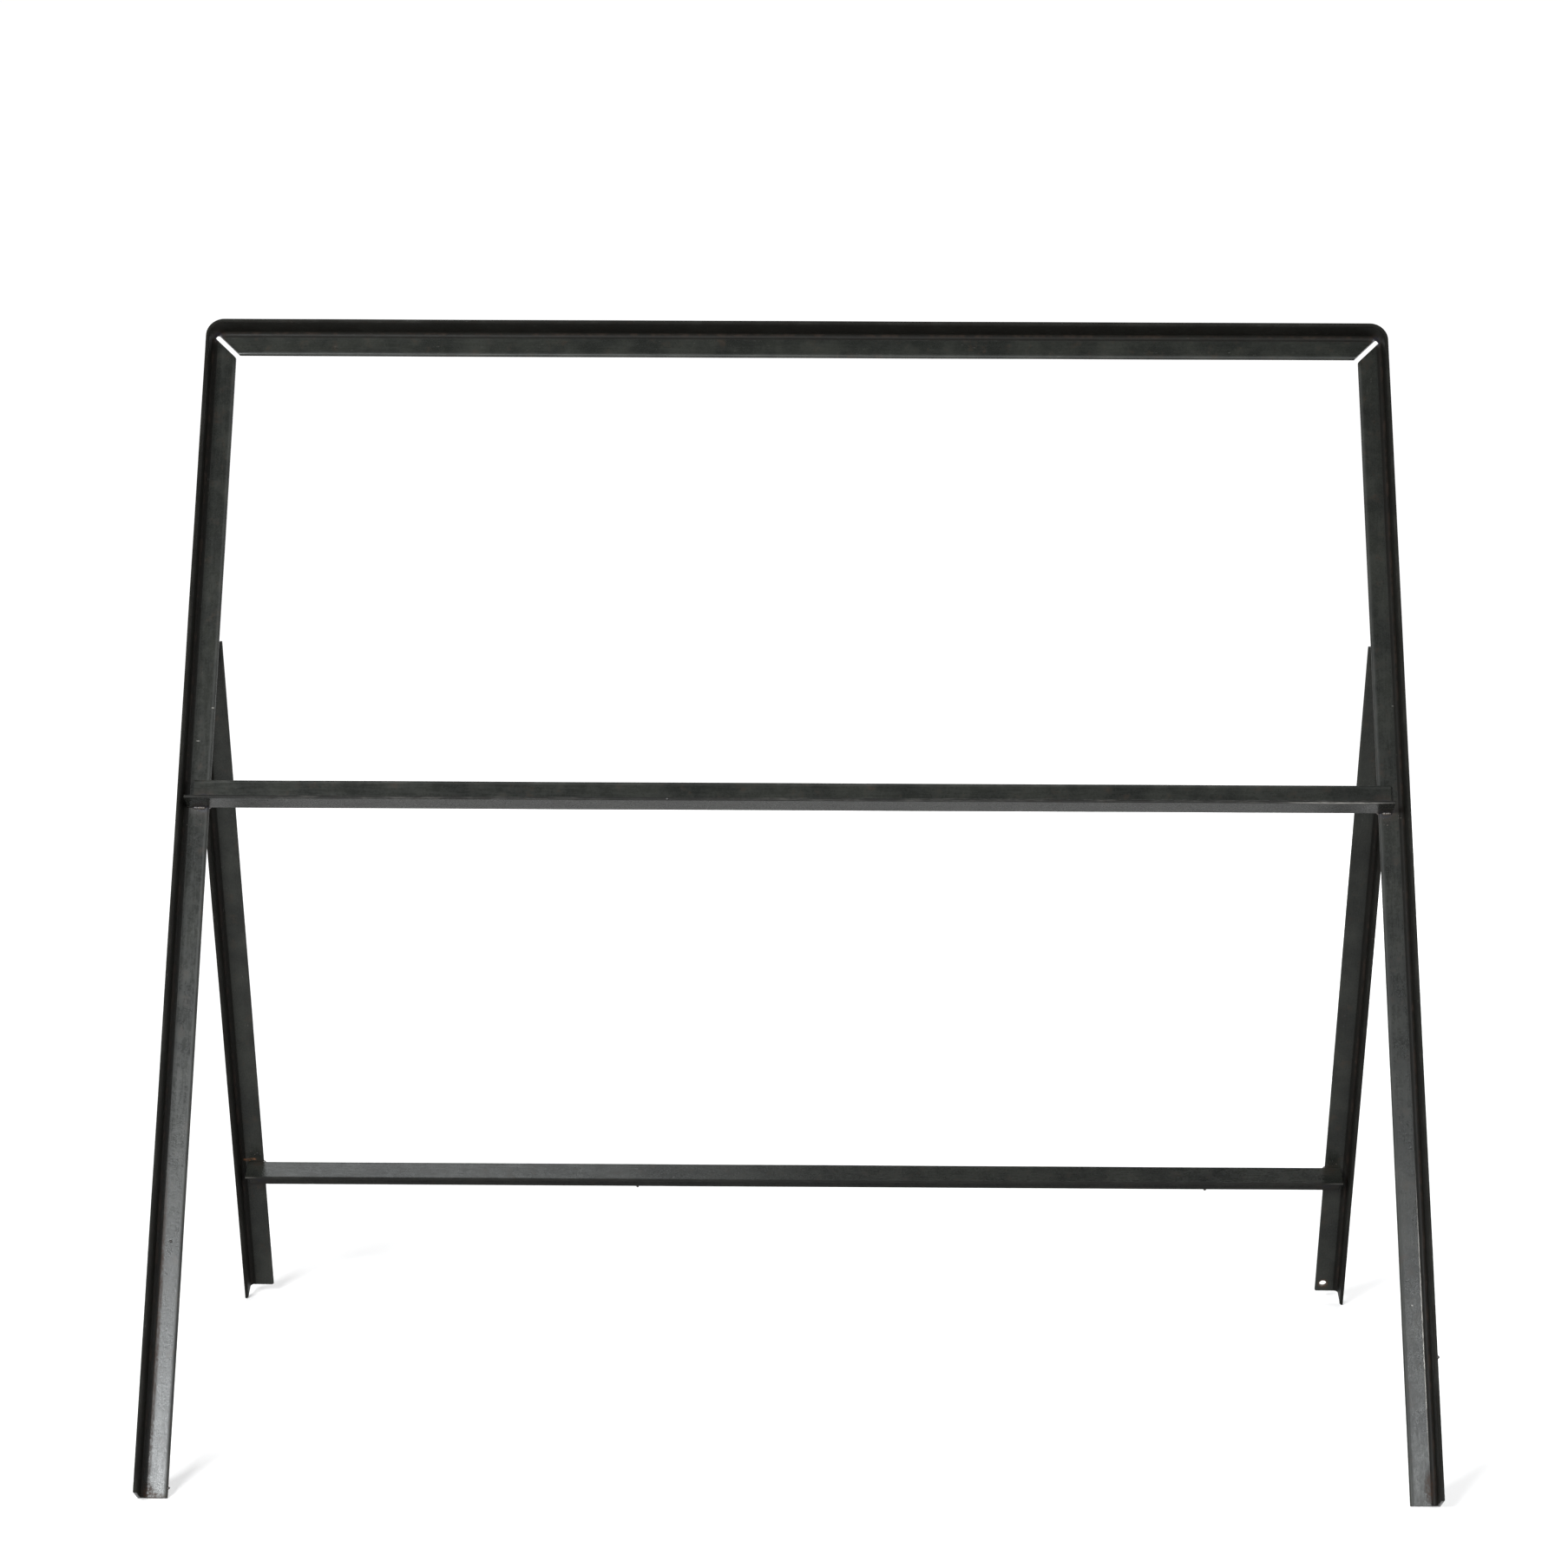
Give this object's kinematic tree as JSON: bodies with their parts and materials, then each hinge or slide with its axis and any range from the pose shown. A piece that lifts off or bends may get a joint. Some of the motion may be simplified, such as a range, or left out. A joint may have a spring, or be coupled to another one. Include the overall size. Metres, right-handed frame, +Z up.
{
  "type": "folding sign trestle",
  "caption": "Folding A-frame trestle of black steel angle: tray-shaped front frame with a ledge, hinged rear frame that folds flat against it.",
  "frame": {"origin": "on the ground, at the middle of the open stand's footprint", "axes": "+Z up, +X across the width, -Y the way the tray faces"},
  "size_m": [1.0712, 0.6856, 0.9452],
  "materials": {
    "mill_steel": "hot-rolled steel with dark satin mill scale",
    "zinc_fastener": "dull bright zinc plating",
    "nylon_insert": "satin blue nylon"
  },
  "bodies": {
    "front": {"front_frame": "mill_steel", "sign_ledge": "mill_steel", "hinge_lug_left": "mill_steel", "hinge_lug_right": "mill_steel"},
    "rear": {"rear_leg_left": "mill_steel", "rear_leg_right": "mill_steel", "rear_rail": "mill_steel", "pivot_bolt_left": "zinc_fastener", "pivot_bolt_right": "zinc_fastener", "spacer_washer_left": "zinc_fastener", "spacer_washer_right": "zinc_fastener", "nut_washer_left": "zinc_fastener", "nut_washer_right": "zinc_fastener", "lock_nut_left": "zinc_fastener", "lock_nut_right": "zinc_fastener", "nylon_ring_left": "nylon_insert", "nylon_ring_right": "nylon_insert"}
  },
  "joints": [
    {"name": "fold", "type": "hinge", "parent": "front", "child": "rear", "pos_m": [0, 0.05027, 0.64065], "axis": [-1, 0, 0], "range_deg": [0, 52]}
  ]
}
